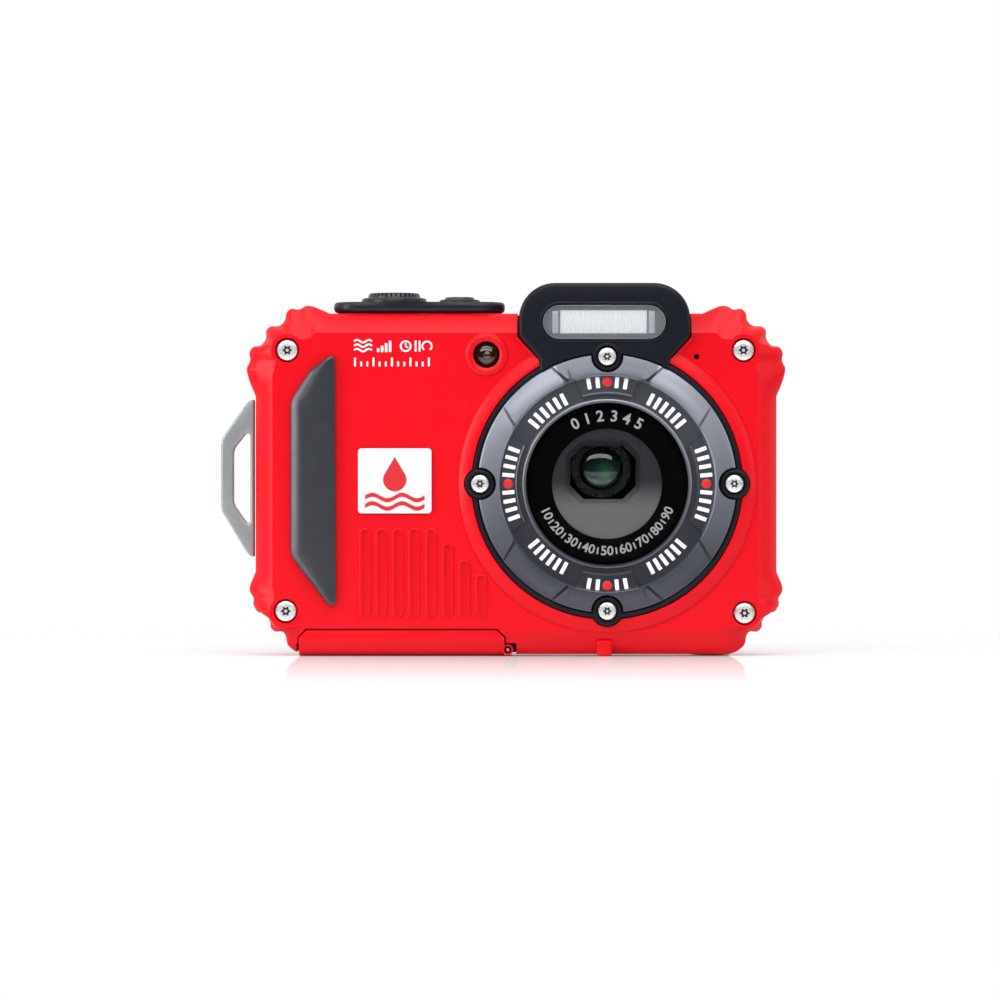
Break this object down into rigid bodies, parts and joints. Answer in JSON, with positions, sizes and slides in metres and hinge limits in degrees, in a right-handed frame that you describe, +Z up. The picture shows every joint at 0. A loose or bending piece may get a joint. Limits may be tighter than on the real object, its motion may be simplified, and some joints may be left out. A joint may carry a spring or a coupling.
{
  "type": "compact digital camera",
  "caption": "Rugged waterproof compact camera with ringed lens port, flash hood, strap eye, hinged battery door and rear screen with keys.",
  "frame": {"origin": "middle of the camera's box seen from above, on the plane its base stands on", "axes": "+X to the right as one looks at the front, the lens faces -Y, +Z up"},
  "size_m": [0.1142, 0.0276, 0.0752],
  "materials": {
    "red_shell": "satin gloss moulded polycarbonate",
    "black_plastic": "fine textured black polycarbonate",
    "ring_grey": "satin dark grey moulding",
    "grip_rubber": "matt moulded rubber",
    "seal_rubber": "silicone rubber",
    "screw_steel": "bright stainless steel",
    "bracket_metal": "satin grey painted die casting",
    "brass": "turned brass",
    "clear_glass": "clear hard coated",
    "coated_lens": "green anti-reflection coating",
    "flash_tube_glass": "clear glass tube",
    "white_badge": "smooth white plastic",
    "bright_reflector": "bright metallised",
    "grey_frame": "matt dark grey plastic",
    "circuit_board": "green solder resist",
    "dark_wrap": "dark sleeve",
    "plated_steel": "plated sheet steel"
  },
  "bodies": {
    "camera_body": {"front_shell": "red_shell", "rear_shell": "red_shell", "top_plate": "black_plastic", "lens_surround": "black_plastic", "lens_ring": "ring_grey", "grip_pad": "grip_rubber", "thumb_rest": "grip_rubber", "main_seal": "seal_rubber", "front_screw_1": "screw_steel", "front_screw_2": "screw_steel", "front_screw_3": "screw_steel", "front_screw_4": "screw_steel", "ring_screw_1": "screw_steel", "ring_screw_2": "screw_steel", "ring_screw_3": "screw_steel", "ring_screw_4": "screw_steel", "door_hinge_pin": "screw_steel", "guide_rod_left": "screw_steel", "guide_rod_right": "screw_steel", "strap_bracket": "bracket_metal", "tripod_socket": "brass", "lens_window": "clear_glass", "flash_window": "clear_glass", "af_lamp_lens": "clear_glass", "lcd_window": "clear_glass", "prism": "clear_glass", "front_lens_element": "coated_lens", "flash_tube": "flash_tube_glass", "badge": "white_badge", "flash_reflector": "bright_reflector", "lens_mask": "grey_frame", "battery_bay": "grey_frame", "lens_housing": "grey_frame", "speaker": "grey_frame", "main_board": "circuit_board", "image_sensor": "circuit_board", "battery": "dark_wrap", "flash_capacitor": "dark_wrap", "lcd_panel": "dark_wrap", "memory_card": "dark_wrap", "zoom_motor": "dark_wrap", "card_slot": "plated_steel", "usb_port": "plated_steel"},
    "shutter_button": {"shutter_button": "black_plastic"},
    "power_button": {"power_button": "black_plastic"},
    "battery_door": {"battery_door": "red_shell", "door_seal": "seal_rubber"},
    "door_latch": {"door_latch": "black_plastic"},
    "tele_key": {"tele_key": "black_plastic"},
    "wide_key": {"wide_key": "black_plastic"},
    "record_key": {"record_key": "black_plastic"},
    "play_key": {"play_key": "black_plastic"},
    "menu_key": {"menu_key": "black_plastic"},
    "delete_key": {"delete_key": "black_plastic"},
    "nav_pad": {"nav_pad": "black_plastic"},
    "ok_key": {"ok_key": "black_plastic"},
    "lead_screw": {"lead_screw": "screw_steel"},
    "zoom_group": {"zoom_group": "black_plastic"},
    "focus_group": {"focus_group": "black_plastic"}
  },
  "joints": [
    {"name": "shutter_press", "type": "slide", "parent": "camera_body", "child": "shutter_button", "axis": [0, 0, -1], "range_m": [0, 0.0008], "stiffness_N_per_m": 150},
    {"name": "power_press", "type": "slide", "parent": "camera_body", "child": "power_button", "axis": [0, 0, -1], "range_m": [0, 0.0005], "stiffness_N_per_m": 150},
    {"name": "tele_key_press", "type": "slide", "parent": "camera_body", "child": "tele_key", "axis": [0, -1, 0], "range_m": [0, 0.0004], "stiffness_N_per_m": 150},
    {"name": "wide_key_press", "type": "slide", "parent": "camera_body", "child": "wide_key", "axis": [0, -1, 0], "range_m": [0, 0.0004], "stiffness_N_per_m": 150},
    {"name": "record_key_press", "type": "slide", "parent": "camera_body", "child": "record_key", "axis": [0, -1, 0], "range_m": [0, 0.0004], "stiffness_N_per_m": 150},
    {"name": "play_key_press", "type": "slide", "parent": "camera_body", "child": "play_key", "axis": [0, -1, 0], "range_m": [0, 0.0004], "stiffness_N_per_m": 150},
    {"name": "menu_key_press", "type": "slide", "parent": "camera_body", "child": "menu_key", "axis": [0, -1, 0], "range_m": [0, 0.0004], "stiffness_N_per_m": 150},
    {"name": "delete_key_press", "type": "slide", "parent": "camera_body", "child": "delete_key", "axis": [0, -1, 0], "range_m": [0, 0.0004], "stiffness_N_per_m": 150},
    {"name": "nav_pad_press", "type": "slide", "parent": "camera_body", "child": "nav_pad", "axis": [0, -1, 0], "range_m": [0, 0.0004], "stiffness_N_per_m": 150},
    {"name": "ok_key_press", "type": "slide", "parent": "camera_body", "child": "ok_key", "axis": [0, -1, 0], "range_m": [0, 0.0004], "stiffness_N_per_m": 150},
    {"name": "battery_door_hinge", "type": "hinge", "parent": "camera_body", "child": "battery_door", "pos_m": [0.001, 0, 0.00125], "axis": [0, -1, 0], "range_deg": [0, 100]},
    {"name": "door_latch_slide", "type": "slide", "parent": "battery_door", "child": "door_latch", "axis": [1, 0, 0], "range_m": [0, 0.002]},
    {"name": "lead_screw_turn", "type": "hinge", "parent": "camera_body", "child": "lead_screw", "pos_m": [0.0325, 0.001, 0.029], "axis": [0, 0, 1], "range_deg": [0, 936]},
    {"name": "zoom_travel", "type": "slide", "parent": "camera_body", "child": "zoom_group", "axis": [0, 0, -1], "range_m": [0, 0.005]},
    {"name": "focus_travel", "type": "slide", "parent": "camera_body", "child": "focus_group", "axis": [0, 0, 1], "range_m": [0, 0.0016]}
  ],
  "couplings": [
    {"joint": "lead_screw_turn", "follows": "zoom_travel", "rad_per_m": 3141.6},
    {"joint": "focus_travel", "follows": "zoom_travel", "ratio": 0.3}
  ]
}
